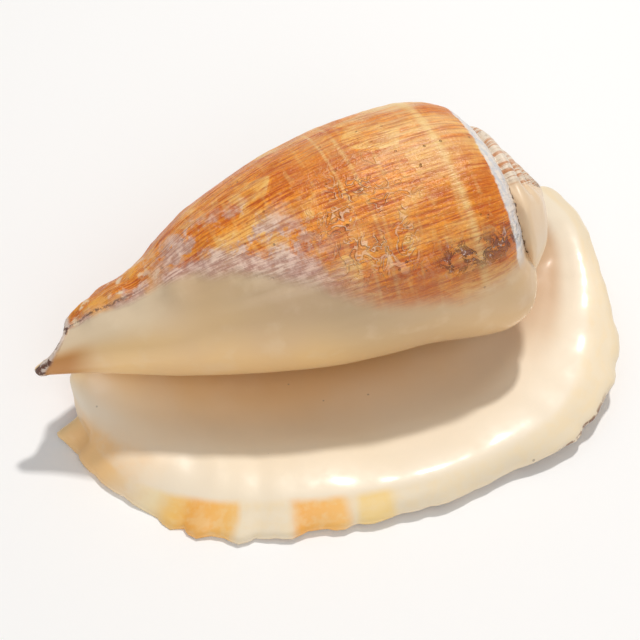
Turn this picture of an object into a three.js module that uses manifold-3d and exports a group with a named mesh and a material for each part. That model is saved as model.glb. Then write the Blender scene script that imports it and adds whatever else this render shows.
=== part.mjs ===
// Conch shell: a large flared-lip true conch, right-handed, one piece of shell grown round a hollow.
// Millimetres, +Z up. The shell lies on its back: +X runs along the shell's axis towards the spire,
// -Y is the side the opening faces. The whole shape is one growing whorl: a profile that turns round
// the axis and swells by a fixed ratio per turn, and at the end opens into the wide lip.
import * as THREE from "three";
import { mergeVertices } from "three/addons/utils/BufferGeometryUtils.js";
import Module from "manifold-3d";

// ---- driving dimensions
const BEAK = new THREE.Vector3(-97, 0, 38.5); // anterior end of the axis, at the tip of the canal
const AXIS_TILT = 5; // degrees the spire end is raised
const AXIS_LENGTH = 185; // beak to apex
const SPIRE_HEIGHT = 21; // apex to suture, on top of the last whorl
const WHORL_RATIO = 1.5; // growth per turn
const WALL = 3; // shell thickness of the last whorl
const LIP_WALL = 4.4; // thickness of the lip
const MARGIN_ROUND = 9; // degrees of growth over which the lip's margin rounds off
const REST_ROLL = -0.37; // degrees about X that settle the shell on its back
const REST_PITCH = -1.52; // degrees about Y
const WORN_FLAT = 0.8; // depth worn flat where the shell touches the ground
const PLACE = [-6.0, 15.89, 0.56 - WORN_FLAT]; // middle of the footprint to the origin, on the ground

// radius of the whorl (mm, at growth angle -132) along the axis, 0 at the beak and 1 at the suture
const PROFILE_AT = [0, 0.07, 0.16, 0.26, 0.44, 0.59, 0.75, 0.84, 0.9, 0.939, 0.972, 1];
const PROFILE = [5, 8.4, 14, 20.3, 29.4, 34.8, 37.1, 36.8, 36, 34.2, 30.2, 22.8];

// the lip, as growth lines seen on its inside face, from the canal (first point) to the suture (last)
const STATION_AT = [0, 0.07, 0.15, 0.25, 0.36, 0.47, 0.58, 0.68, 0.77, 0.85, 0.92, 0.97, 1];
const LIP_FLOOR = [
  [-86.5, 5, 25], [-82, -3, 21], [-70, -12, 16], [-53, -17, 11], [-33, -22, 8], [-10, -25, 5],
  [14, -27, 4], [37, -26, 3], [56, -20, 3], [70, -10, 6], [79, 1, 13], [81, 8, 23], [75, 10, 32],
];
const LIP_FOLD = [
  [-86, 2, 17], [-82, -14, 14], [-71, -29, 13], [-54, -36, 12], [-34, -44, 11], [-12, -50, 10],
  [12, -53, 9], [36, -52, 9], [60, -43, 9], [80, -26, 10], [93, -5, 14], [96, 9, 20], [86, 19, 32],
];
const LIP_CURL = [
  [-88, -3, 10], [-85, -19, 10], [-77, -36, 10], [-60, -51, 10], [-38, -61, 10], [-12, -68, 10],
  [15, -71, 10], [42, -69, 10], [68, -60, 10], [89, -38, 12], [102, -12, 16], [107, 9, 22], [97, 26, 30],
];
const LIP_MARGIN = [
  [-96.5, -6, 8], [-92.5, -20, 5], [-82, -37, 4], [-66.5, -60, 3.5], [-42, -70.5, 3.5],
  [-14, -75.5, 3.5], [15, -76.5, 3.5], [45, -72.5, 3.5], [76.5, -69.5, 5.5], [99, -46.5, 9.5],
  [109.5, -15, 15], [112.5, 11, 19], [106.5, 28, 27],
];
const LIP_DROP = 3.5; // the outside face lies this far below those lines
const MARGIN_WAVE = 0.6; // uneven waves of the margin
const MARGIN_BREADTH = 11; // of the turned-out edge that the waves stretch
// single bulges and notches of the margin: station, width in stations, how far out (mm)
const MARGIN_LOBES = [
  [0.1, 0.3, 1.5], [1.35, 0.15, -1.3], [2.35, 0.3, 1.4], [5.62, 0.2, -1.4], [6.15, 0.3, 1.6],
  [7.9, 0.25, -1.2], [9.4, 0.3, 1.3],
];

// edge of the glaze that covers the side of the last whorl facing the opening (growth angle along the axis)
const GLAZE_AT = [0, 0.12, 0.28, 0.43, 0.53, 0.62, 0.7, 0.85, 1];
const GLAZE_EDGE = [10, 0, -8, -28, -42, -60, -68, -76, -70];
const GLAZE_THICK = [1, 7.5]; // thin along the beak, thick at the shoulder
const GLAZE_RIM = 0.35; // part of that thickness lost again at the suture
const LOBE_THICK = 7; // lobe of glaze that laps over the earlier whorl
const LOBE_REACH = 0.5; // and along the axis
const LOBE_FULLNESS = 0.7; // 1 is a cone, less is rounder
const LOBE_MIDDLE = -88; // where the lobe lies round the axis, in degrees, with its half width and soft edge
const LOBE_HALF = 62;
const LOBE_EDGE = 28;
const WHORL_BULGE = 0.13; // fullness of each earlier whorl between its sutures

// the slanting end of the beak: how far it is cut back along the axis, by growth angle
const BEAK_CUT_AT = [-212, -160, -105, -60, 0, 60, 160];
const BEAK_CUT = [4, 1, -4, -0.5, 8, 10, 8];
const WAIST = 3; // depth of the waist behind the beak, along the top
const WAIST_AT = [0.24, 0.07]; // where it lies along the whorl, and how wide
const CUT_END = 0.17; // part of the whorl, from the beak, that slants with the cut
const WHORL_START_SUNK = 4; // the first growth line of the last whorl lies this far under the surface
const CORE_SINK = 2; // how far the core's end lies behind that cut

const HOLLOW_END = 80; // growth angle where the hollow behind the opening closes

// growth angles (degrees): 0 on top, 90 at the back, 180 underneath, -90 at the front
const GROWTH_START = -212;
const CORE_END = 159.4;
const LIP_START = 160;
const LIP_ROW = 30;
const LIP_END = LIP_START + 4 * LIP_ROW;

// ---- helpers
const { cos, sin, exp, log, floor, max, min, sqrt, PI } = Math;
const rad = (deg) => (deg * PI) / 180;
const ease = (a, b, x) => {
  const t = min(max((x - a) / (b - a), 0), 1);
  return t * t * (3 - 2 * t);
};
// smooth curve through (at[i], value[i]) without overshoot
function through(at, value, x) {
  const n = at.length;
  x = min(max(x, at[0]), at[n - 1]);
  let i = 0;
  while (i < n - 2 && x >= at[i + 1]) i++;
  const slope = (k) => (value[k + 1] - value[k]) / (at[k + 1] - at[k]);
  const tangent = (k) => {
    if (k === 0) return slope(0);
    if (k === n - 1) return slope(n - 2);
    const p = slope(k - 1), q = slope(k);
    return p * q > 0 ? (2 * p * q) / (p + q) : 0;
  };
  const h = at[i + 1] - at[i], f = (x - at[i]) / h;
  return value[i] * (1 + 2 * f) * (1 - f) ** 2 + h * tangent(i) * f * (1 - f) ** 2
    + value[i + 1] * f * f * (3 - 2 * f) + h * tangent(i + 1) * f * f * (f - 1);
}
// Catmull-Rom point at position u on a row of points, continued straight past its ends
function along(row, u) {
  const n = row.length - 1;
  u = min(max(u, 0), n - 1e-9);
  const i = floor(u), f = u - i;
  const mirror = (a, b) => a.map((v, k) => 2 * v - b[k]);
  const p1 = row[i], p2 = row[i + 1];
  const p0 = i > 0 ? row[i - 1] : mirror(p1, p2);
  const p3 = i < n - 1 ? row[i + 2] : mirror(p2, p1);
  return p1.map((v, k) => v + 0.5 * f * (p2[k] - p0[k]
    + f * (2 * p0[k] - 5 * v + 4 * p2[k] - p3[k] + f * (3 * (v - p2[k]) + p3[k] - p0[k]))));
}

// ---- the growing whorl
const GROWTH = log(WHORL_RATIO) / 360;
const swell = (angle) => exp(GROWTH * (angle + 132));
const spireLeft = (angle) => SPIRE_HEIGHT * exp(GROWTH * angle);
const suture = (angle) => AXIS_LENGTH - spireLeft(angle);
const tilt = rad(AXIS_TILT);
function onWhorl(angle, a, r) {
  const up = r * cos(rad(angle)), side = r * sin(rad(angle));
  return [BEAK.x + a * cos(tilt) - up * sin(tilt), side, BEAK.z + a * sin(tilt) + up * cos(tilt)];
}
function whorlRadius(angle, a) {
  const below = (suture(angle) - a) / spireLeft(angle); // distance under the suture, in spire heights
  const plain = a / suture(angle);
  const near = 1 - (SPIRE_HEIGHT / (AXIS_LENGTH - SPIRE_HEIGHT)) * below;
  const [at, width] = WAIST_AT;
  const waist = WAIST * exp(-(((plain - at) / width) ** 2)) * ease(-70, -10, angle) * ease(150, 90, angle);
  return through(PROFILE_AT, PROFILE, plain + (near - plain) * ease(1.2, 0.6, below)) * swell(angle) - waist;
}
// earlier whorls: the surface one turn or more back, with the spire above the suture; past the end of the
// hollow they are built up to the wall of the last whorl
function core(angle, a) {
  const left = max(AXIS_LENGTH - a, 0.3) / spireLeft(angle); // of the spire above this level
  const back = max(1, 1 + floor(log(1 / left) / log(WHORL_RATIO)));
  const band = log(1 / left) / log(WHORL_RATIO) - back + 1;
  const full = band > 0 ? 1 + WHORL_BULGE * sin(PI * min(band, 1)) : 1;
  const above = a - suture(angle);
  const lobe = ease(0, LOBE_EDGE, LOBE_HALF - Math.abs(angle - LOBE_MIDDLE))
    * ease(-6, 2, above) * ease(20, 8, above);
  const within = ease(HOLLOW_END + 25, HOLLOW_END - 25, angle) * ease(0, -4, above);
  const stepped = whorlRadius(angle - 360 * back, a) * full;
  // the lobe of glaze smooths the steps between the whorls over
  const cone = PROFILE[PROFILE.length - 1] * swell(angle) * left ** LOBE_FULLNESS;
  const plain = stepped + (left < 1 ? (cone - stepped) * lobe : 0) + LOBE_THICK * lobe;
  const end = (through(BEAK_CUT_AT, BEAK_CUT, angle) + CORE_SINK) * ease(CUT_END, 0, a / suture(angle));
  const filled = whorlRadius(angle, a + end) - WALL / 2;
  return onWhorl(angle, a + LOBE_REACH * lobe + end, plain + (filled - plain) * within);
}
// how far the margin stands out at station s, in mm: uneven waves with single bulges and notches
function margin(s) {
  const waves = sin(s * 5.1 + 0.6) + 0.6 * sin(s * 3.3 + 2);
  return MARGIN_LOBES.reduce(
    (sum, [at, width, out]) => sum + out * exp(-(((s - at) / width) ** 2)), MARGIN_WAVE * waves);
}
const rows = [LIP_FLOOR, LIP_FOLD, LIP_CURL, LIP_MARGIN]
  .map((row) => row.map(([x, y, z]) => [x, y, z - LIP_DROP]));
// outside face of the last whorl and lip; s counts the stations from the canal to the suture
function outside(t, s) {
  const q = through(STATION_AT.map((_, i) => i), STATION_AT, s);
  const whorl = (angle) => {
    const a = q * suture(angle) + through(BEAK_CUT_AT, BEAK_CUT, angle) * ease(CUT_END, 0, q);
    const sunk = WHORL_START_SUNK * ease(GROWTH_START + 15, GROWTH_START, angle);
    return onWhorl(angle, a, whorlRadius(angle, a) - sunk);
  };
  if (t <= LIP_START - LIP_ROW) return whorl(t);
  const before = [2, 1, 0].map((n) => whorl(LIP_START - n * LIP_ROW));
  const lines = [...before, ...rows.map((row) => along(row, s))];
  const reach = 1 + margin(s) / MARGIN_BREADTH;
  lines[6] = lines[6].map((v, k) => lines[5][k] + (v - lines[5][k]) * (k < 2 ? reach : 1));
  const lip = along(lines, t / LIP_ROW - (LIP_START / LIP_ROW - 2));
  const w = ease(LIP_START - LIP_ROW, LIP_START, t);
  const body = whorl(min(t, LIP_START));
  return lip.map((v, k) => v * w + body[k] * (1 - w));
}
function glaze(t, s) {
  if (t > 90) return 0;
  const q = through(STATION_AT.map((_, i) => i), STATION_AT, s);
  const edge = through(GLAZE_AT, GLAZE_EDGE, q);
  return (GLAZE_THICK[0] + (GLAZE_THICK[1] - GLAZE_THICK[0]) * ease(0.72, 0.95, q))
    * (1 - GLAZE_RIM * ease(0.95, 1, q)) * ease(0, 45, edge - t);
}
// one growth line as a closed loop of points: out along the outside face, back along the inside
function loop(t, stations) {
  const last = STATION_AT.length - 1;
  const faces = stations.map((s) => {
    const d = (f, g) => new THREE.Vector3().subVectors(new THREE.Vector3(...f), new THREE.Vector3(...g));
    const inward = d(outside(min(t + 1, LIP_END), s), outside(t - 1, s))
      .cross(d(outside(t, min(s + 0.05, last)), outside(t, max(s - 0.05, 0)))).normalize();
    const wall = WALL + (LIP_WALL - WALL) * ease(LIP_START - 30, LIP_START + 60, t);
    const round = (x) => sqrt(1 - (1 - min(max(x, 0), 1)) ** 2);
    const full = max(round(min(s, last - s) / 0.16), 0.35) * max(round((LIP_END - t) / MARGIN_ROUND), 0.3);
    const middle = new THREE.Vector3(...outside(t, s)).addScaledVector(inward, wall / 2);
    return [
      middle.clone().addScaledVector(inward, (-wall / 2) * full - glaze(t, s) * full),
      middle.clone().addScaledVector(inward, (wall / 2) * full),
    ];
  });
  return [...faces.map((f) => f[0]), ...faces.map((f) => f[1]).reverse()];
}

// closed solid swept through a series of closed loops with the same number of points
function swept(loops) {
  const n = loops[0].length, position = [], index = [];
  for (const ring of loops) for (const p of ring) position.push(p.x, p.y, p.z);
  for (let i = 0; i + 1 < loops.length; i++)
    for (let j = 0; j < n; j++) {
      const a = i * n + j, b = i * n + ((j + 1) % n), c = b + n, d = a + n;
      index.push(a, b, c, a, c, d);
    }
  return { n, position, index, rings: loops.length };
}
function capStrip({ n, index, rings }) {
  // the end loops are two facing rows: join each point to the one across
  for (const [base, flip] of [[0, false], [(rings - 1) * n, true]])
    for (let j = 0; j < n / 2 - 1; j++) {
      const a = base + j, b = base + j + 1, c = base + n - 2 - j, d = base + n - 1 - j;
      if (flip) index.push(a, b, c, a, c, d);
      else index.push(a, c, b, a, d, c);
    }
}
function capFan({ n, position, index, rings }, ends) {
  ends.forEach((p, e) => {
    const centre = position.length / 3, base = e === 0 ? 0 : (rings - 1) * n;
    position.push(...p);
    for (let j = 0; j < n; j++) {
      const a = base + j, b = base + ((j + 1) % n);
      if (e === 0) index.push(centre, b, a);
      else index.push(centre, a, b);
    }
  });
}

function range(from, to, count) {
  return Array.from({ length: count + 1 }, (_, i) => from + ((to - from) * i) / count);
}

// last whorl and lip
const stations = [0, 0.05, 0.16, ...range(0.5, 11.5, 22), 11.84, 11.95, 12];
const lastLines = [6, 3, 1, 0].map((before) => LIP_END - before);
const growth = [
  ...range(GROWTH_START, LIP_START, 37), ...range(LIP_START + 8, LIP_END - 10, 11), ...lastLines,
];
const whorl = swept(growth.map((t) => loop(t, stations)));
capStrip(whorl);

// earlier whorls
const turns = range(CORE_END, GROWTH_START + 12, 46);
const levels = [0.5, ...range(8, 150, 12), ...range(155, 182.5, 12), 183.4];
const inner = swept(levels.map((a) => turns.map((angle) => new THREE.Vector3(...core(angle, a)))));
capFan(inner, [onWhorl(0, CORE_SINK + 3, 0), onWhorl(0, 183.8, 0)]);

// ---- one piece of shell
const wasm = await Module();
wasm.setup();
function solid({ position, index }) {
  const merged = mergeVertices(new THREE.BufferGeometry()
    .setAttribute("position", new THREE.Float32BufferAttribute(position, 3)).setIndex(index), 1e-4);
  return new wasm.Manifold(new wasm.Mesh({
    numProp: 3,
    vertProperties: merged.attributes.position.array,
    triVerts: new Uint32Array(merged.index.array),
  }));
}
const settled = new THREE.Matrix4().compose(
  new THREE.Vector3(...PLACE),
  new THREE.Quaternion().setFromEuler(new THREE.Euler(rad(REST_ROLL), rad(REST_PITCH), 0)),
  new THREE.Vector3(1, 1, 1),
);
const below = new THREE.BoxGeometry(400, 400, 40).translate(0, 0, -20);
below.deleteAttribute("normal");
below.deleteAttribute("uv");
const ground = mergeVertices(below);
const shellSolid = solid(whorl).add(solid(inner)).transform(settled.elements)
  .subtract(solid({ position: [...ground.attributes.position.array], index: [...ground.index.array] }));
const made = shellSolid.getMesh();
const geometry = new THREE.BufferGeometry();
geometry.setAttribute("position", new THREE.BufferAttribute(made.vertProperties, 3));
geometry.setIndex(new THREE.BufferAttribute(made.triVerts, 1));
geometry.computeVertexNormals();

const material = new THREE.MeshStandardMaterial({ color: 0xe9c9a0, roughness: 0.35, metalness: 0 });
const shell = new THREE.Mesh(geometry, material);
shell.name = "conch_shell";

const conch = new THREE.Group();
conch.add(shell);
export default conch;
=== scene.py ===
"""Conch shell: the fine surface of the shell, its colours, and a small studio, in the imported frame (metres).

The whole shell is one growing whorl. A profile turns round the axis and swells by a fixed ratio per turn;
the last third of a turn opens into the lip. Growth angles are degrees: 0 on top, 90 at the back, 180 underneath,
-90 at the front, and one turn earlier is 360 less.
"""
import bisect
import math

import bmesh
import bpy
from mathutils import Euler, Matrix, Vector, kdtree, noise


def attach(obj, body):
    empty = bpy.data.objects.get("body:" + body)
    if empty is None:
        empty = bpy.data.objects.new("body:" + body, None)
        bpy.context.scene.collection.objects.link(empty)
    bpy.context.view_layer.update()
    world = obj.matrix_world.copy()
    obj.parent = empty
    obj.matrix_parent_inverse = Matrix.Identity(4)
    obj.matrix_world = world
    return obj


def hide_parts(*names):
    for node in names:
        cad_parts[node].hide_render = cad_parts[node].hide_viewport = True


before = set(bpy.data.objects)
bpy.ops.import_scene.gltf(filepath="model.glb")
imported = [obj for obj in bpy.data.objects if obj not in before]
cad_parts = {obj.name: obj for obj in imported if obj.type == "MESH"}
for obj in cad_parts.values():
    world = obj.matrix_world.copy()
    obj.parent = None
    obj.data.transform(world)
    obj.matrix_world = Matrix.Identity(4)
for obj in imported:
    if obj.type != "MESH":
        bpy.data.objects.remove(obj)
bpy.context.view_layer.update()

MM = 0.001

# ---- driving dimensions, as the solid has them (mm and degrees)
BEAK = (-97.0, 0.0, 38.5)  # anterior end of the axis, at the tip of the canal
AXIS_TILT = math.radians(5)
AXIS_LENGTH = 185.0  # beak to apex
SPIRE_HEIGHT = 21.0  # apex to suture, on top of the last whorl
WHORL_RATIO = 1.5  # growth per turn
WALL = 3.0
LIP_WALL = 4.4
MARGIN_ROUND = 9.0  # degrees of growth over which the lip's margin rounds off
REST_TURN = (math.radians(-0.37), math.radians(-1.52), 0.0)  # settles the shell on its back
WORN_FLAT = 0.8
PLACE = (-6.0, 15.89, 0.56 - WORN_FLAT)

# radius of the whorl at growth angle -PROFILE_TURN, along the axis, 0 at the beak and 1 at the suture
PROFILE_TURN = 132
PROFILE_AT = [0, 0.07, 0.16, 0.26, 0.44, 0.59, 0.75, 0.84, 0.9, 0.939, 0.972, 1]
PROFILE = [5, 8.4, 14, 20.3, 29.4, 34.8, 37.1, 36.8, 36, 34.2, 30.2, 22.8]

# the lip, as growth lines seen on its inside face, from the canal (first point) to the suture (last)
STATION_AT = [0, 0.07, 0.15, 0.25, 0.36, 0.47, 0.58, 0.68, 0.77, 0.85, 0.92, 0.97, 1]
LAST = len(STATION_AT) - 1
LIP_FLOOR = [
    (-86.5, 5, 25), (-82, -3, 21), (-70, -12, 16), (-53, -17, 11), (-33, -22, 8), (-10, -25, 5),
    (14, -27, 4), (37, -26, 3), (56, -20, 3), (70, -10, 6), (79, 1, 13), (81, 8, 23), (75, 10, 32),
]
LIP_FOLD = [
    (-86, 2, 17), (-82, -14, 14), (-71, -29, 13), (-54, -36, 12), (-34, -44, 11), (-12, -50, 10),
    (12, -53, 9), (36, -52, 9), (60, -43, 9), (80, -26, 10), (93, -5, 14), (96, 9, 20), (86, 19, 32),
]
LIP_CURL = [
    (-88, -3, 10), (-85, -19, 10), (-77, -36, 10), (-60, -51, 10), (-38, -61, 10), (-12, -68, 10),
    (15, -71, 10), (42, -69, 10), (68, -60, 10), (89, -38, 12), (102, -12, 16), (107, 9, 22),
    (97, 26, 30),
]
LIP_MARGIN = [
    (-96.5, -6, 8), (-92.5, -20, 5), (-82, -37, 4), (-66.5, -60, 3.5), (-42, -70.5, 3.5),
    (-14, -75.5, 3.5), (15, -76.5, 3.5), (45, -72.5, 3.5), (76.5, -69.5, 5.5), (99, -46.5, 9.5),
    (109.5, -15, 15), (112.5, 11, 19), (106.5, 28, 27),
]
LIP_DROP = 3.5
MARGIN_WAVE = 0.6
MARGIN_BREADTH = 11.0  # of the turned-out edge that the waves stretch
# single bulges and notches of the margin: station, width in stations, how far out
MARGIN_LOBES = [
    (0.1, 0.3, 1.5), (1.35, 0.15, -1.3), (2.35, 0.3, 1.4), (5.62, 0.2, -1.4), (6.15, 0.3, 1.6),
    (7.9, 0.25, -1.2), (9.4, 0.3, 1.3),
]

# the glaze over the side that faces the opening: its edge, as a growth angle along the axis
GLAZE_AT = [0, 0.12, 0.28, 0.43, 0.53, 0.62, 0.7, 0.85, 1]
GLAZE_EDGE = [10, 0, -8, -28, -42, -60, -68, -76, -70]
GLAZE_THICK = (1.0, 7.5)
GLAZE_RIM = 0.35  # part of that thickness lost again at the suture
GLAZE_FADE = 45.0  # degrees over which the glaze thins out to its edge
NO_GLAZE = -2.0  # glaze place where there is none
# the lobe of glaze that laps over the earlier whorl
LOBE_THICK = 7.0
LOBE_REACH = 0.5
LOBE_FULLNESS = 0.7  # 1 is a cone, less is rounder
LOBE_MIDDLE, LOBE_HALF, LOBE_EDGE = -88.0, 62.0, 28.0
WHORL_BULGE = 0.13  # fullness of each earlier whorl between its sutures

# the slanting end of the beak: how far it is cut back along the axis, by growth angle
BEAK_CUT_AT = [-212, -160, -105, -60, 0, 60, 160]
BEAK_CUT = [4, 1, -4, -0.5, 8, 10, 8]
CUT_END = 0.17  # part of the whorl, from the beak, that slants with the cut
WAIST = 3.0  # depth of the waist behind the beak, along the top
WAIST_AT = (0.24, 0.07)  # where it lies along the whorl, and how wide
WHORL_START_SUNK = 4.0  # the first growth line of the last whorl lies this far under the surface
CORE_SINK = 2.0

HOLLOW_END = 80.0  # growth angle where the hollow behind the opening closes

GROWTH_START = -212.0
CORE_START, CORE_END = -200.0, 159.4
LIP_START = 160.0
LIP_ROW = 30.0
LIP_END = LIP_START + 4 * LIP_ROW

CRACK_DEPTH = 0.5
CRACK_TURNS = (-0.85, -0.22)  # growth angles of the last whorl where it runs, in hundreds of degrees
LOBE_TURN = -3.6  # those of the lobe lie below this, in hundreds of degrees too
CRACK_MARK = 1.3  # station value that marks the crack

# ---- fineness of the mesh
STATION_STEPS = 132
GROWTH_STEP = 1.7
MARGIN_STEPS = 7
RIM = 0.16  # width of the rounded rims along the canal and the suture, in stations
RIM_STEPS = 4
CORE_TURNS = 150
BODY_LEVELS = 44
CORE_LEVELS = 84
CORE_BODY = (0.5, 150.0)  # along the axis: hidden in the last whorl
CORE_TOP = 183.4
CORE_TIP = 183.9
SOFT_EDGE = math.radians(48)  # a sharper edge than this stays sharp
MERGE = 0.002


def ease(a, b, x):
    t = min(max((x - a) / (b - a), 0.0), 1.0)
    return t * t * (3 - 2 * t)


class Curve:
    """A smooth curve through its points that never overshoots them."""

    def __init__(self, at, value):
        self.at, self.value = list(at), list(value)
        n = len(self.at)
        slope = [(value[k + 1] - value[k]) / (self.at[k + 1] - self.at[k]) for k in range(n - 1)]
        self.tangent = [slope[0]] + [
            2 * p * q / (p + q) if p * q > 0 else 0.0 for p, q in zip(slope, slope[1:])
        ] + [slope[-1]]

    def __call__(self, x):
        at, value, tangent = self.at, self.value, self.tangent
        x = min(max(x, at[0]), at[-1])
        i = min(max(bisect.bisect_right(at, x) - 1, 0), len(at) - 2)
        h = at[i + 1] - at[i]
        f = (x - at[i]) / h
        return (value[i] * (1 + 2 * f) * (1 - f) ** 2 + h * tangent[i] * f * (1 - f) ** 2
                + value[i + 1] * f * f * (3 - 2 * f) + h * tangent[i + 1] * f * f * (f - 1))


profile = Curve(PROFILE_AT, PROFILE)
station_place = Curve(range(LAST + 1), STATION_AT)
glaze_edge = Curve(GLAZE_AT, GLAZE_EDGE)
beak_cut = Curve(BEAK_CUT_AT, BEAK_CUT)


def along(row, u):
    """Point at position u on a smooth line through a row of points, continued straight past its ends."""
    n = len(row) - 1
    u = min(max(u, 0.0), n - 1e-9)
    i = int(u)
    f = u - i
    p1, p2 = row[i], row[i + 1]
    p0 = row[i - 1] if i > 0 else 2 * p1 - p2
    p3 = row[i + 2] if i < n - 1 else 2 * p2 - p1
    return p1 + 0.5 * f * (p2 - p0 + f * (2 * p0 - 5 * p1 + 4 * p2 - p3 + f * (3 * (p1 - p2) + p3 - p0)))


GROWTH = math.log(WHORL_RATIO) / 360


def swell(angle):
    """How much larger the whorl is here than where its profile was taken."""
    return math.exp(GROWTH * (angle + PROFILE_TURN))


def spire_left(angle):
    """Distance along the axis from the suture at this growth angle to the apex."""
    return SPIRE_HEIGHT * math.exp(GROWTH * angle)


def suture(angle):
    """Distance along the axis from the beak to the suture."""
    return AXIS_LENGTH - spire_left(angle)


def on_whorl(angle, a, r):
    """The point a along the axis from the beak, and r away from it."""
    up = r * math.cos(math.radians(angle))
    return Vector((
        BEAK[0] + a * math.cos(AXIS_TILT) - up * math.sin(AXIS_TILT),
        r * math.sin(math.radians(angle)),
        BEAK[2] + a * math.sin(AXIS_TILT) + up * math.cos(AXIS_TILT),
    ))


def profile_place(angle, a):
    """Where on the profile a place along the axis lies; near the suture it is measured back from there."""
    below = (suture(angle) - a) / spire_left(angle)
    plain = a / suture(angle)
    near = 1 - SPIRE_HEIGHT / (AXIS_LENGTH - SPIRE_HEIGHT) * below
    return plain + (near - plain) * ease(1.2, 0.6, below)


def whorl_radius(angle, a):
    at, width = WAIST_AT
    waist = WAIST * math.exp(-((a / suture(angle) - at) / width) ** 2)
    waist *= ease(-70, -10, angle) * ease(150, 90, angle)
    return profile(profile_place(angle, a)) * swell(angle) - waist


LIP_ROWS = [
    [Vector((x, y, z - LIP_DROP)) for x, y, z in row] for row in (LIP_FLOOR, LIP_FOLD, LIP_CURL, LIP_MARGIN)
]


def margin_waves(s):
    return math.sin(s * 5.1 + 0.6) + 0.6 * math.sin(s * 3.3 + 2)


def scallops(s):
    """Small uneven scallops along the margin, deeper on its front half."""
    front = ease(1.5, 2.5, s) * ease(8.5, 6.5, s)
    beat = math.sin(s * 12.4 + 1.3 * math.sin(s * 2.3)) + 0.5 * math.sin(s * 21.0 + 0.8)
    lobes = sum(out * math.exp(-((s - at) / width) ** 2) for at, width, out in MARGIN_LOBES)
    return (0.4 + 0.7 * front) * beat + lobes


def outside(t, s):
    """Outside face of the last whorl and lip, without relief; s counts stations from canal to suture."""
    q = station_place(s)

    def whorl(angle):
        a = q * suture(angle) + beak_cut(angle) * ease(CUT_END, 0, q)
        sunk = WHORL_START_SUNK * ease(GROWTH_START + 15, GROWTH_START, angle)
        return on_whorl(angle, a, whorl_radius(angle, a) - sunk)

    if t <= LIP_START - LIP_ROW:
        return whorl(t)
    lines = [whorl(LIP_START - 2 * LIP_ROW), whorl(LIP_START - LIP_ROW), whorl(LIP_START)]
    lines += [along(row, s) for row in LIP_ROWS]
    stretch = lines[6] - lines[5]
    reach = (MARGIN_WAVE * margin_waves(s) + scallops(s)) / MARGIN_BREADTH
    lines[6] = lines[6] + Vector((stretch.x, stretch.y, 0)) * reach
    lip = along(lines, t / LIP_ROW - (LIP_START / LIP_ROW - 2))
    return whorl(min(t, LIP_START)).lerp(lip, ease(LIP_START - LIP_ROW, LIP_START, t))


def glaze_place(t, q):
    """How far inside the edge of the glaze a place is: 0 at the edge, 1 at full thickness."""
    return (glaze_edge(q) - t) / GLAZE_FADE if t < 90 else NO_GLAZE


def glaze(t, q):
    """Thickness of the glaze."""
    full = GLAZE_THICK[0] + (GLAZE_THICK[1] - GLAZE_THICK[0]) * ease(0.72, 0.95, q)
    return full * (1 - GLAZE_RIM * ease(0.95, 1, q)) * ease(0, 1, glaze_place(t, q))


def rounded(x):
    """Goes from 0 to 1 as a quarter circle while x does."""
    return math.sqrt(max(0.0, 1 - (1 - min(max(x, 0.0), 1.0)) ** 2))


def bent_grid(rows):
    """A grid sheet bent so that its vertices lie on the given rows of points."""
    bm = bmesh.new()
    nx, ny = len(rows) - 1, len(rows[0]) - 1
    bmesh.ops.create_grid(bm, x_segments=nx, y_segments=ny, size=0.5)
    for v in bm.verts:
        i = round((v.co.x + 0.5) * nx)
        j = round((v.co.y + 0.5) * ny)
        v.co = rows[i][j]
    return bm


def to_object(name, sheets):
    """One closed object of sheets that meet along their borders."""
    bm = bmesh.new()
    for sheet in sheets:
        mesh = bpy.data.meshes.new(name)
        sheet.to_mesh(mesh)
        sheet.free()
        bm.from_mesh(mesh)
        bpy.data.meshes.remove(mesh)
    bmesh.ops.remove_doubles(bm, verts=bm.verts, dist=MERGE)
    bmesh.ops.dissolve_degenerate(bm, edges=bm.edges, dist=MERGE / 4)
    bmesh.ops.recalc_face_normals(bm, faces=bm.faces)
    mesh = bpy.data.meshes.new(name)
    bm.to_mesh(mesh)
    bm.free()
    obj = bpy.data.objects.new(name, mesh)
    bpy.context.scene.collection.objects.link(obj)
    return obj


# every made point with what it is: (turn, place along the axis, station, glaze, inside face, lip)
samples = []


def growth_lines():
    """Growth angles of the mesh's lines, closer together where the margin rounds off."""
    n = int((LIP_START - GROWTH_START) / GROWTH_STEP)
    lines = [GROWTH_START + (LIP_START - GROWTH_START) * k / n for k in range(n + 1)]
    m = int((LIP_END - MARGIN_ROUND - LIP_START) / GROWTH_STEP)
    lines += [LIP_START + (LIP_END - MARGIN_ROUND - LIP_START) * k / m for k in range(1, m + 1)]
    quarter = math.pi / 2 / MARGIN_STEPS
    return lines + [LIP_END - MARGIN_ROUND * (1 - math.sin(k * quarter)) for k in range(1, MARGIN_STEPS + 1)]


def rim_stations():
    """Stations of the mesh's points along a growth line, closer together at the two rounded rims."""
    near = [RIM * (1 - math.cos(k * math.pi / 2 / RIM_STEPS)) for k in range(RIM_STEPS)]
    middle = [RIM + (LAST - 2 * RIM) * k / STATION_STEPS for k in range(STATION_STEPS + 1)]
    return near + middle + [LAST - x for x in reversed(near)]


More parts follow.
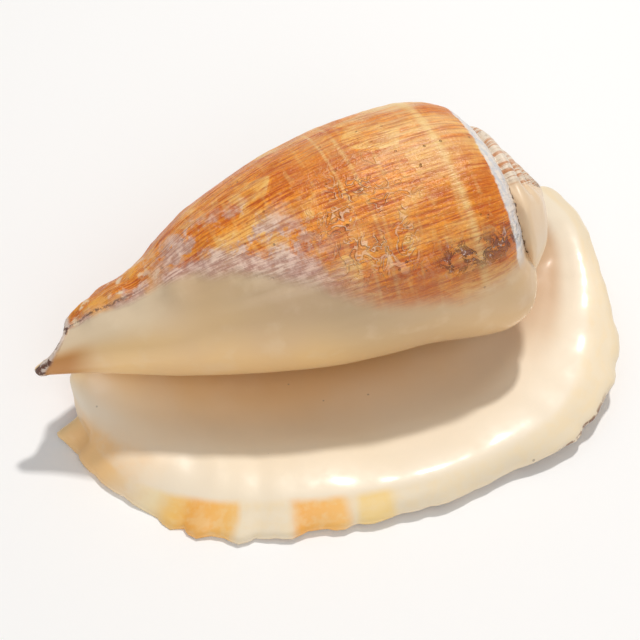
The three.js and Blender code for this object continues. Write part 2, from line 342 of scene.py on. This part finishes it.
def last_whorl():
    """The last whorl and the lip, as one closed sheet with a wall."""
    growth, stations = growth_lines(), rim_stations()
    base = [[outside(t, s) for s in stations] for t in growth]
    outer, inner = [], []
    for i, t in enumerate(growth):
        outer_row, inner_row = [], []
        before, after = base[max(i - 1, 0)], base[min(i + 1, len(growth) - 1)]
        wall = WALL + (LIP_WALL - WALL) * ease(LIP_START - 30, LIP_START + 60, t)
        end = min(rounded((LIP_END - t) / MARGIN_ROUND), rounded((t - GROWTH_START) / 6))
        lip = (t - LIP_START) / (LIP_END - LIP_START)
        for j, s in enumerate(stations):
            here = base[i][j]
            q = station_place(s)
            g = glaze_place(t, q)
            across = base[i][min(j + 1, len(stations) - 1)] - base[i][max(j - 1, 0)]
            inward = (after[j] - before[j]).cross(across).normalized()
            full = end * rounded(min(s, LAST - s) / RIM)
            swollen = lip_swell(t, s, here) * ease(LIP_START + 30, LIP_START + 75, t)
            middle = here + inward * (wall / 2 + swollen)
            skin = relief(t, q, here) * min(1.0, 2 * full) * ease(LIP_START + 40, LIP_START, t)
            bulge = glaze(t, q) + (callus_swell(t, q) if t < 0 else 0)
            out = middle - inward * ((wall / 2 + bulge) * full + skin * (1 - ease(0, 1, g)))
            ins = middle + inward * (wall / 2) * full
            outer_row.append(out)
            inner_row.append(ins)
            side = 0.5 * min(1, full * 1.5)
            samples.append((out, (t, q, s, g, 0.5 - side, lip)))
            samples.append((ins, (t, q, s, g, 0.5 + side, lip)))
        outer.append(outer_row)
        inner.append(inner_row)
    return to_object("last_whorl", [bent_grid(outer), bent_grid(inner)])


def core_point(angle, a):
    """A point of the earlier whorls, and what it is; past the end of the hollow they fill the last whorl."""
    left = max(AXIS_LENGTH - a, 0.3) / spire_left(angle)
    turns = -math.log(left) / math.log(WHORL_RATIO)
    back = max(1, 1 + math.floor(turns))
    band = turns - back + 1
    full = 1 + WHORL_BULGE * math.sin(math.pi * min(band, 1)) if band > 0 else 1
    above = a - suture(angle)
    inside_lobe = LOBE_HALF - abs(angle - LOBE_MIDDLE)
    lobe = ease(0, LOBE_EDGE, inside_lobe) * ease(-6, 2, above) * ease(20, 8, above)
    t = angle - 360 * back
    stepped = whorl_radius(t, a) * full
    plain = stepped + LOBE_THICK * lobe
    if left < 1:
        plain += (PROFILE[-1] * swell(angle) * left ** LOBE_FULLNESS - stepped) * lobe
    end = (beak_cut(angle) + CORE_SINK) * ease(CUT_END, 0, a / suture(angle))
    within = ease(HOLLOW_END + 25, HOLLOW_END - 25, angle) * ease(0, -4, above)
    r = plain + (whorl_radius(angle, a + end) - WALL / 2 - plain) * within
    g = inside_lobe / LOBE_EDGE * ease(24, 14, above) if above > -3 else 2.0
    what = (t, min(profile_place(t, a), 1.0), LAST, g, 0.0, -1.0)
    return on_whorl(angle, a + LOBE_REACH * lobe + end, r), what


def earlier_whorls():
    """The earlier whorls as one closed piece, from inside the beak to the apex."""
    angles = [CORE_START + (CORE_END - CORE_START) * k / CORE_TURNS for k in range(CORE_TURNS + 1)]
    low, high = CORE_BODY
    levels = [low + (high - low) * k / BODY_LEVELS for k in range(BODY_LEVELS)]
    levels += [high + (CORE_TOP - high) * k / CORE_LEVELS for k in range(CORE_LEVELS + 1)]
    rows = [[on_whorl(0, CORE_SINK + 3, 0)] * (len(angles) + 1)]
    for a in levels:
        row = []
        for angle in angles:
            p, what = core_point(angle, a)
            row.append(p)
            samples.append((p, what))
        rows.append(row + row[:1])
    rows.append([on_whorl(0, CORE_TIP, 0)] * (len(angles) + 1))
    return to_object("earlier_whorls", [bent_grid(rows)])


def relief(t, q, p):
    """Height of the worn outer skin above the smooth whorl, in mm."""
    step = noise.noise(Vector((t * 0.16, q * 2.0, 0.3)))
    fine = noise.noise(Vector((t * 0.5, q * 8.0, 7.1)))
    worn = noise.fractal(Vector((p.x * 0.07, p.y * 0.07, p.z * 0.07)), 0.8, 2.1, 4)
    lumps = noise.noise(Vector((p.x * 0.13, p.y * 0.13, p.z * 0.13 + 3))) * ease(0.42, 0.2, q)
    cords = 0.5 * math.exp(-((q - 0.875) / 0.012) ** 2) + 0.25 * math.exp(-((q - 0.70) / 0.01) ** 2)
    return 0.3 * step + 0.22 * fine + 0.4 * worn + 0.9 * lumps + 0.5 * cords - 0.1


def lip_swell(t, s, p):
    """Slow uneven rise and fall of the lip, ripples across it near the margin and two thick knobs, in mm."""
    slow = noise.noise(Vector((p.x * 0.045, p.y * 0.045, 5.0)))
    ripple = noise.noise(Vector((s * 3.0, p.z * 0.02, 2.0)))
    near = ease(LIP_END - 50, LIP_END - 15, t)
    corner = 1.6 * math.exp(-((s - 0.55) / 0.22) ** 2) * near
    knob = 1.8 * math.exp(-((s - 2.45) / 0.3) ** 2) * near
    return -(0.7 * slow + 0.5 * ripple + corner + knob)


def callus_swell(t, q):
    """A knob and a hollow in the glaze behind the beak, in mm."""
    knob = 1.5 * math.exp(-((t + 24) / 12) ** 2 - ((q - 0.29) / 0.03) ** 2)
    hollow = 0.9 * math.exp(-((t + 16) / 10) ** 2 - ((q - 0.335) / 0.025) ** 2)
    roll = 1.2 * math.exp(-((t + 75) / 30) ** 2 - ((q - 0.22) / 0.09) ** 2)
    return knob - hollow + roll


def joined(whorl, core):
    """One mesh of the two closed pieces, which are used up."""
    join = whorl.modifiers.new("join", "BOOLEAN")
    join.operation = "UNION"
    join.solver = "MANIFOLD"
    join.object = core
    bpy.context.view_layer.update()
    graph = bpy.context.evaluated_depsgraph_get()
    mesh = bpy.data.meshes.new_from_object(whorl.evaluated_get(graph))
    for obj in (whorl, core):
        old = obj.data
        bpy.data.objects.remove(obj)
        bpy.data.meshes.remove(old)
    return mesh


def mark_places(bm, growth, zone):
    """Gives each vertex what the nearest made point is."""
    tree = kdtree.KDTree(len(samples))
    for i, (p, _) in enumerate(samples):
        tree.insert(p, i)
    tree.balance()
    for v in bm.verts:
        t, q, s, g, inside, lip = samples[tree.find(v.co)[1]][1]
        v[growth] = (t / 100, q, s / LAST)
        v[zone] = (g, inside, lip)


def sink_crack(bm, growth):
    """A crack along the suture, between the last whorl and the lobe of glaze."""
    bm.normal_update()
    crack = []
    for v in bm.verts:
        turns = [u[growth].x for e in v.link_edges for u in e.verts]
        if min(turns) < LOBE_TURN and CRACK_TURNS[0] < max(turns) < CRACK_TURNS[1]:
            crack.append(v)
    for v in crack:
        v[growth] = (v[growth].x, v[growth].y, CRACK_MARK)
        v.co -= v.normal * CRACK_DEPTH


def conch_shell():
    mesh = joined(last_whorl(), earlier_whorls())
    bm = bmesh.new()
    bm.from_mesh(mesh)
    bpy.data.meshes.remove(mesh)
    growth = bm.verts.layers.float_vector.new("growth")
    zone = bm.verts.layers.float_vector.new("zone")
    mark_places(bm, growth, zone)
    sink_crack(bm, growth)
    for e in bm.edges:
        e.smooth = len(e.link_faces) == 2 and e.calc_face_angle(0) < SOFT_EDGE
    for f in bm.faces:
        f.smooth = True
    turn = Matrix.Translation(Vector(PLACE)) @ Euler(REST_TURN, "XYZ").to_matrix().to_4x4()
    bmesh.ops.transform(bm, matrix=Matrix.Scale(MM, 4) @ turn, verts=bm.verts)
    for v in bm.verts:  # worn flat where it touches the ground
        v.co.z = max(v.co.z, 0.0)
    out = bpy.data.meshes.new("conch")
    bm.to_mesh(out)
    bm.free()
    conch = bpy.data.objects.new("conch", out)
    bpy.context.scene.collection.objects.link(conch)
    return conch


conch = conch_shell()
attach(conch, "root")
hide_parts("conch_shell")


# ---- shell colours
class Wire:
    """One value in a material. Arithmetic on it adds Math nodes."""

    def __init__(self, tree, socket):
        self.tree, self.socket = tree, socket

    def add(self, kind, settings=None, values=(), out=0, **named):
        """A new node: its settings first, then its sockets by place or by name; gives one of its outputs."""
        node = self.tree.nodes.new("ShaderNode" + kind)
        for key, value in (settings or {}).items():
            if key == "stops":
                fill_ramp(node.color_ramp, value)
            else:
                setattr(node, key, value)
        for key, value in list(enumerate(values)) + list(named.items()):
            if isinstance(key, str):
                key = key.replace("_", " ")
            if isinstance(value, Wire):
                self.tree.links.new(value.socket, node.inputs[key])
            elif value is not None:
                node.inputs[key].default_value = value
        return Wire(self.tree, node.outputs[out])

    def math(self, operation, *others):
        return self.add("Math", {"operation": operation}, (self,) + others)

    def __add__(self, other):
        return self.math("ADD", other)

    def __sub__(self, other):
        return self.math("SUBTRACT", other)

    def __mul__(self, other):
        return self.math("MULTIPLY", other)

    def __rsub__(self, other):
        return self.add("Math", {"operation": "SUBTRACT"}, (other, self))

    __radd__, __rmul__ = __add__, __mul__

    def size(self):
        return self.math("ABSOLUTE")

    def most(self, other):
        return self.math("MAXIMUM", other)

    def step(self, low, high, first=0.0, last=1.0):
        """Goes smoothly from first to last while this value goes from low to high."""
        return self.add("MapRange", {"interpolation_type": "SMOOTHSTEP"}, (self, low, high, first, last))

    def bump_at(self, centre, width):
        """1 where this value is centre, fading to 0 width away on both sides."""
        return (self - centre).size().step(0.0, width, 1.0, 0.0)


def fill_ramp(ramp, stops):
    while len(ramp.elements) < len(stops):
        ramp.elements.new(0.5)
    for element, (at, colour) in zip(ramp.elements, stops):
        element.position = at
        element.color = tone(colour)


def tone(colour):
    """A colour as it is seen, as the light it reflects."""
    return tuple(c / 12.92 if c < 0.04045 else ((c + 0.055) / 1.055) ** 2.4 for c in colour) + (1,)


def colour_mix(amount, first, last):
    """Colour first turned towards colour last by amount; either may be a seen colour in plain numbers."""
    pad = [c if isinstance(c, Wire) else tone(c) for c in (first, last)]
    node = amount.tree.nodes.new("ShaderNodeMix")
    node.data_type = "RGBA"
    node.clamp_factor = True
    for socket, value in zip((node.inputs[0], node.inputs[6], node.inputs[7]), [amount] + pad):
        if isinstance(value, Wire):
            amount.tree.links.new(value.socket, socket)
        else:
            socket.default_value = value
    return Wire(amount.tree, node.outputs[2])


def part(vector, axis):
    return vector.add("SeparateXYZ", values=(vector,), out=axis)


class Surface:
    """Where a spot lies on the shell, as wires, with the patterns that its colours share."""

    def __init__(self, tree):
        self.root = root = Wire(tree, None)
        growth = root.add("Attribute", {"attribute_name": "growth"}, out=1)
        zone = root.add("Attribute", {"attribute_name": "zone"}, out=1)
        self.spot = root.add("TexCoord", out=3)
        self.turn, self.place, self.station = (part(growth, k) for k in range(3))
        self.glazed, self.inner, self.lip = (part(zone, k) for k in range(3))
        self.is_old = self.turn.step(-1.99, -2.0)
        # broad to fine unevenness in space (1 unit is 1 m, so scale 100 is a feature of 10 mm)
        self.broad = self.cloud(self.spot, 28, 3)
        self.mid = self.cloud(self.spot, 90, 4)
        self.small = self.cloud(self.spot, 320, 4, 0.6)
        self.grain = self.cloud(self.spot, 1100, 3, 0.6)
        # growth lines: fine ribs, and broader seasons of growth, with plots where the skin wears unevenly
        self.ribs = self.cloud(self.grid(72, 15), 1.0, 3, 0.6, 0.15)
        self.ribs_long = self.cloud(self.grid(38, 5, 5), 1.0, 3, 0.6, 0.1)
        self.seasons = self.cloud(self.grid(7, 4, 9), 1.0, 3, 0.55)
        plots = self.cells(self.grid(5.0, 11.0, 20), 1.0, "SMOOTH_F1", 1, 0.6, 0.25)
        self.patch = root.add("SeparateColor", values=(plots,), out=0)
        self.line = self.ribs.step(0.40, 0.60)
        self.line_long = self.ribs_long.step(0.38, 0.64)
        self.margin = self.lip + (self.mid - 0.5) * 0.03

    def grid(self, across, length, lift=0.0):
        """Pattern space that follows the growth: features per 100 degrees, and per length of the shell."""
        return self.root.add(
            "CombineXYZ", values=(self.turn * across, self.place * length, self.inner * 3.0 + lift))

    def cloud(self, where, scale, detail=3.0, rough=0.5, twist=0.0):
        return self.root.add("TexNoise", {"noise_dimensions": "3D"}, Vector=where, Scale=scale,
                             Detail=detail, Roughness=rough, Distortion=twist)

    def cells(self, where, scale, feature="F1", out=0, random=1.0, soft=None):
        return self.root.add("TexVoronoi", {"feature": feature}, Vector=where, Scale=scale,
                             Randomness=random, Smoothness=soft, out=out)


RELIEF = 0.9 * MM  # height of the finest roughness of the skin
STRAW = (0.98, 0.80, 0.48)
CREAM = (0.95, 0.88, 0.76)
ORANGE = (0.98, 0.69, 0.26)
HONEY = (0.98, 0.84, 0.54)
# pale spiral bands: place along the shell, half width
WIDE_BAND = (0.872, 0.016)
THIN_BANDS = [(0.69, 0.007), (0.655, 0.006)]
# colours of the margin, along its stations
MARGIN_BANDS = [
    (0.00, (0.97, 0.86, 0.64)),
    (0.05, (0.94, 0.76, 0.50)),
    (0.13, (0.95, 0.80, 0.56)),
    (0.165, (0.98, 0.93, 0.84)),
    (0.20, (0.98, 0.90, 0.72)),
    (0.225, (0.98, 0.77, 0.38)),
    (0.245, ORANGE),
    (0.292, (0.99, 0.76, 0.38)),
    (0.300, CREAM),
    (0.350, CREAM),
    (0.358, ORANGE),
    (0.402, (0.99, 0.74, 0.34)),
    (0.412, CREAM),
    (0.422, HONEY),
    (0.448, HONEY),
    (0.458, CREAM),
    (1.00, CREAM),
]


def orange_skin(on):
    """The worn orange skin of the last whorl, with its pale spiral bands."""
    skin = colour_mix(on.line, (0.73, 0.32, 0.01), (1.0, 0.62, 0.15))
    skin = colour_mix(on.line_long * 0.45, skin, (1.0, 0.71, 0.24))
    skin = colour_mix(on.grain.step(0.40, 0.62) * 0.4, skin, (0.82, 0.38, 0.03))
    skin = colour_mix(on.seasons.step(0.5, 0.75) * 0.35, skin, (0.74, 0.31, 0.05))
    pale_plot = on.patch.step(0.55, 0.72) * on.mid.step(0.35, 0.6)
    skin = colour_mix(pale_plot * (0.25 + 0.5 * on.line), skin, (0.99, 0.83, 0.50))
    dark_plot = on.patch.step(0.30, 0.22) * on.mid.step(0.3, 0.5)
    skin = colour_mix(dark_plot * 0.4, skin, (0.78, 0.34, 0.03))
    bleached = on.turn.step(-0.35, 0.3) * on.place.step(0.55, 0.8) * on.broad.step(0.35, 0.55)
    skin = colour_mix(bleached * (0.25 + 0.55 * on.line_long), skin, (1.0, 0.90, 0.66))
    threads = on.cloud(on.grid(4, 60, 30), 1.0, 2).step(0.52, 0.75)
    skin = colour_mix(threads * 0.35, skin, STRAW)
    bands = on.place.bump_at(*WIDE_BAND)
    for at, width in THIN_BANDS:
        bands = bands.most(on.place.bump_at(at, width) * 0.6)
    bands = bands * on.seasons.step(0.25, 0.5)
    skin = colour_mix(bands * (0.35 + 0.45 * on.line), skin, (0.98, 0.86, 0.58))
    skin = colour_mix(on.small.step(0.56, 0.74) * 0.4, skin, (0.98, 0.80, 0.50))
    return colour_mix(on.broad.step(0.5, 0.7) * 0.25, skin, (0.76, 0.35, 0.09))


def scars(on, skin):
    """Marks of things that bored into the skin or crept over it: the skin with them, and their height."""
    scarred = on.place.bump_at(0.68, 0.17) * on.turn.bump_at(-0.30, 0.50) * on.mid.step(0.40, 0.54)
    creep = on.cloud(on.spot, 170, 1, 0.5, 1.8)
    worm = (creep - 0.5).size().step(0.05, 0.01) * scarred
    groove = (creep - 0.57).size().step(0.05, 0.0) * scarred
    skin = colour_mix(worm * 0.7, skin, (0.97, 0.84, 0.72))
    skin = colour_mix(groove * 0.3, skin, (0.68, 0.36, 0.20))
    pitted = on.turn.bump_at(-0.61, 0.13) * on.place.step(0.76, 0.82) * on.place.step(1.0, 0.965)
    rot = on.cloud(on.spot, 230, 4, 0.7, 0.8).step(0.49, 0.57) * pitted
    skin = colour_mix(pitted * 0.35, skin, (0.62, 0.33, 0.24))
    skin = colour_mix(rot * 0.75, skin, (0.42, 0.25, 0.23))
    flakes = on.cloud(on.spot, 330, 3, 0.6, 1.0).step(0.60, 0.66) * pitted
    skin = colour_mix(flakes * 0.8, skin, (0.90, 0.80, 0.76))
    pits = on.cells(on.spot, 240).step(0.13, 0.06) * on.mid.step(0.42, 0.6)
    skin = colour_mix(pits * 0.45, skin, (0.48, 0.24, 0.18))
    return skin, worm * 0.4 - pits * 0.7 - rot * 0.8 - groove * 0.3


def mauve_edge(on, skin):
    """Mauve and grey where the glaze thins out over the skin: the skin with it, and where it is."""
    ragged = on.glazed + (on.mid - 0.5) * 0.7 + (on.small - 0.5) * 0.7
    front = on.place.step(0.70, 0.50)
    patchy = on.cloud(on.spot, 100, 5, 0.68).step(0.44, 0.54)
    wide = ragged.step(-1.15, -0.40) * front * on.place.step(0.22, 0.3) * patchy
    mauve = wide.most(ragged.step(-0.35, -0.02))
    streak = (on.ribs * 0.5 + on.small * 0.5).step(0.42, 0.60)
    colour = colour_mix(streak, (0.72, 0.56, 0.51), (0.93, 0.82, 0.76))
    colour = colour_mix(front, (0.72, 0.42, 0.22), colour)
    return colour_mix(mauve * (0.45 + 0.4 * front), skin, colour), mauve


def beak_skin(on, skin):
    """Towards the beak the skin is worn through to paler shell, with a dark crust along the glaze."""
    near = on.place.step(0.31, 0.20)
    skin = colour_mix(near * on.mid.step(0.45, 0.55) * 0.7, skin, (0.97, 0.66, 0.20))
    bare = on.cloud(on.spot, 130, 4, 0.6).step(0.53, 0.60)
    skin = colour_mix(near * bare * 0.8, skin, (0.97, 0.89, 0.76))
    crust = (on.glazed + (on.small - 0.5) * 0.15).bump_at(0.0, 0.10)
    crust = crust * on.place.step(0.26, 0.16) * on.grain.step(0.4, 0.55)
    return colour_mix(crust * 0.8, skin, (0.36, 0.24, 0.18))


def spire_skin(on, skin):
    """The white ramp under the suture, with painted bluish shade on it, and the striped earlier whorls."""
    ramp = (on.place + (on.small - 0.5) * 0.012).step(0.952, 0.958) * (on.turn + 2.0).step(0.0, 0.05)
    # painted shade: bluish grey mixed at random into the ramp's white shell
    white = colour_mix(on.small.step(0.4, 0.6), (0.84, 0.86, 0.88), (0.96, 0.93, 0.89))
    stripes = on.cloud(on.grid(30, 4, 40), 1.0, 3, 0.6).step(0.48, 0.60)
    old = colour_mix(stripes, (0.93, 0.86, 0.77), (0.80, 0.52, 0.30))
    old = colour_mix(on.broad.step(0.45, 0.65) * 0.5, old, (0.94, 0.90, 0.84))
    skin = colour_mix(ramp * 0.9, skin, white)
    return colour_mix(on.is_old, skin, old)


def glaze_colour(on):
    """The glaze over the side that faces the opening, with a brown stain under the beak."""
    glaze = colour_mix(on.glazed.step(0.2, 1.7), (0.78, 0.66, 0.50), (0.96, 0.80, 0.56))
    glaze = colour_mix(on.place.step(0.55, 0.95) * 0.5, glaze, (0.93, 0.77, 0.57))
    glaze = colour_mix(on.is_old * 0.45, glaze, (0.95, 0.87, 0.77))
    glaze = colour_mix(on.broad.step(0.4, 0.65) * 0.25, glaze, (0.84, 0.70, 0.58))
    glaze = colour_mix(on.mid.step(0.5, 0.7) * 0.2, glaze, (0.96, 0.87, 0.74))
    pale_beak = on.place.step(0.34, 0.20) * on.glazed.step(1.35, 0.7)
    glaze = colour_mix(pale_beak * 0.6, glaze, (0.90, 0.83, 0.72))
    stain = on.place.step(0.115, 0.05) * on.turn.step(-0.34, -0.62)
    return colour_mix(stain * 0.85, glaze, (0.76, 0.48, 0.13))


def inside_colour(on):
    """Deep tan deep inside the opening, painted shade in brown on the lip beside the shoulder of the whorl, a
    cream lip, and a banded margin.
    """
    deep = on.lip.step(0.42, 0.0)
    inside = colour_mix(deep, (0.95, 0.89, 0.79), (0.97, 0.81, 0.55))
    inside = colour_mix(on.station.bump_at(0.40, 0.3) * deep * 0.5, inside, (0.95, 0.74, 0.46))
    inside = colour_mix(on.broad.step(0.35, 0.7) * 0.25, inside, (0.97, 0.93, 0.87))
    # painted shade: brown on the lip next to the whorl's shoulder, where the shoulder's shadow falls
    shoulder_shade = on.station.step(0.66, 0.84) * on.lip.step(0.66, 0.52)
    inside = colour_mix(shoulder_shade * 0.75, inside, (0.78, 0.60, 0.41))
    at = on.station + (on.mid - 0.5) * 0.012
    bands = at.add("ValToRGB", {"stops": MARGIN_BANDS}, (at,))
    faded = on.cloud(on.grid(14, 60, 80), 1.0, 3).step(0.4, 0.65)
    bands = colour_mix(faded * 0.3, bands, (0.97, 0.86, 0.66))
    inside = colour_mix(on.margin.step(0.75, 0.80) * 0.95, inside, bands)
    corner = on.station.bump_at(0.08, 0.16) * on.lip.step(0.35, 0.65)
    inside = colour_mix(corner * (0.5 + 0.45 * on.mid.step(0.35, 0.6)), inside, (0.99, 0.80, 0.55))
    crust = on.margin.step(0.965, 0.985) * on.station.bump_at(0.625, 0.11).step(0.0, 0.5)
    inside = colour_mix(crust * on.small.step(0.42, 0.55), inside, (0.50, 0.30, 0.14))
    specks = on.cells(on.spot, 75).step(0.05, 0.03)
    return colour_mix(specks * 0.6, inside, (0.60, 0.54, 0.48))


def shell_material():
    material = bpy.data.materials.new("shell")
    material.use_nodes = True
    tree = material.node_tree
    shader = tree.nodes["Principled BSDF"]
    on = Surface(tree)

    skin, scar_height = scars(on, orange_skin(on))
    skin, mauve = mauve_edge(on, skin)
    skin = spire_skin(on, beak_skin(on, skin))
    worn_beak = (on.place + (on.small - 0.5) * 0.012).step(0.024, 0.012)
    chalk = colour_mix(on.small.step(0.40, 0.50), (0.42, 0.24, 0.14), (0.92, 0.84, 0.78))
    skin = colour_mix(worn_beak, skin, chalk)

    under_glaze = (on.glazed + (on.mid - 0.5) * 0.3).step(0.02, 0.30) * (1.0 - worn_beak)
    outer = colour_mix(under_glaze, skin, glaze_colour(on))
    outer = colour_mix(on.station.step(1.09, 1.14) * 0.75, outer, (0.42, 0.26, 0.16))  # the crack
    # the skin thins to cream towards the margin on the outside of the lip
    lip_back = colour_mix(on.line_long, (0.90, 0.78, 0.60), (0.97, 0.91, 0.80))
    outer = colour_mix(on.margin.step(0.15, 0.85) * 0.75, outer, lip_back)
    face = on.inner.step(0.45, 0.55)
    colour = colour_mix(face, outer, inside_colour(on))

    smooth = face.most(under_glaze)
    rough = smooth.step(0.0, 1.0, 0.34, 0.45) + (on.small - 0.5) * 0.3
    coat = smooth * 0.4 + mauve * (1.0 - smooth) * 0.25
    crusty = on.ribs * 0.5 + on.ribs_long * 0.35 + on.grain * 0.25 + on.small * 0.45 + on.mid * 0.5
    crusty = crusty + scar_height + on.patch * 0.15
    height = (1.0 - smooth) * crusty + smooth * (on.mid * 0.15 + on.broad * 0.3)
    bump = on.root.add("Bump", None, Strength=1.0, Distance=RELIEF, Height=height)

    varied = {"Base Color": colour, "Roughness": rough, "Coat Weight": coat, "Normal": bump}
    for name, value in varied.items():
        tree.links.new(value.socket, shader.inputs[name])
    shader.inputs["Coat Roughness"].default_value = 0.15
    shader.inputs["IOR"].default_value = 1.53
    return material


conch.data.materials.append(shell_material())

# ---- studio
floor_mesh = bpy.data.meshes.new("floor")
bm = bmesh.new()
bmesh.ops.create_grid(bm, x_segments=1, y_segments=1, size=3.0)
bm.to_mesh(floor_mesh)
bm.free()
floor = bpy.data.objects.new("floor", floor_mesh)
bpy.context.scene.collection.objects.link(floor)
white = bpy.data.materials.new("pale floor")
white.use_nodes = True
white.node_tree.nodes["Principled BSDF"].inputs["Base Color"].default_value = (0.96, 0.96, 0.96, 1)
white.node_tree.nodes["Principled BSDF"].inputs["Roughness"].default_value = 0.9
floor.data.materials.append(white)

AIM = Vector((-10.98, 0.13, 36.74)) * MM
EYE = Vector((-137.84, -303.01, 398.87)) * MM
ROLL = math.radians(2.31)
cam = bpy.data.cameras.new("camera")
cam.lens = 80
camera = bpy.data.objects.new("camera", cam)
look = (AIM - EYE).to_track_quat("-Z", "Y").to_matrix().to_4x4()
camera.matrix_world = Matrix.Translation(EYE) @ look @ Matrix.Rotation(ROLL, 4, "Z")
bpy.context.scene.collection.objects.link(camera)
bpy.context.scene.camera = camera


def lamp(name, where, aim, size, watts, colour=(1, 1, 1)):
    data = bpy.data.lights.new(name, "AREA")
    data.size = size
    data.energy = watts
    data.color = colour
    obj = bpy.data.objects.new(name, data)
    where, aim = Vector(where), Vector(aim)
    obj.matrix_world = Matrix.Translation(where) @ (aim - where).to_track_quat("-Z", "Y").to_matrix().to_4x4()
    bpy.context.scene.collection.objects.link(obj)


lamp("key", (0.36, 0.38, 1.29), (0, 0, 0.03), 0.09, 10.5, (1, 0.97, 0.93))
lamp("fill", (-0.2, -1.0, 0.9), (0, 0, 0.03), 1.0, 4.6)
bpy.context.scene.view_settings.view_transform = "Standard"
world = bpy.data.worlds.new("studio")
bpy.context.scene.world = world
world.use_nodes = True
world.node_tree.nodes["Background"].inputs["Color"].default_value = (1, 1, 1, 1)
world.node_tree.nodes["Background"].inputs["Strength"].default_value = 0.37
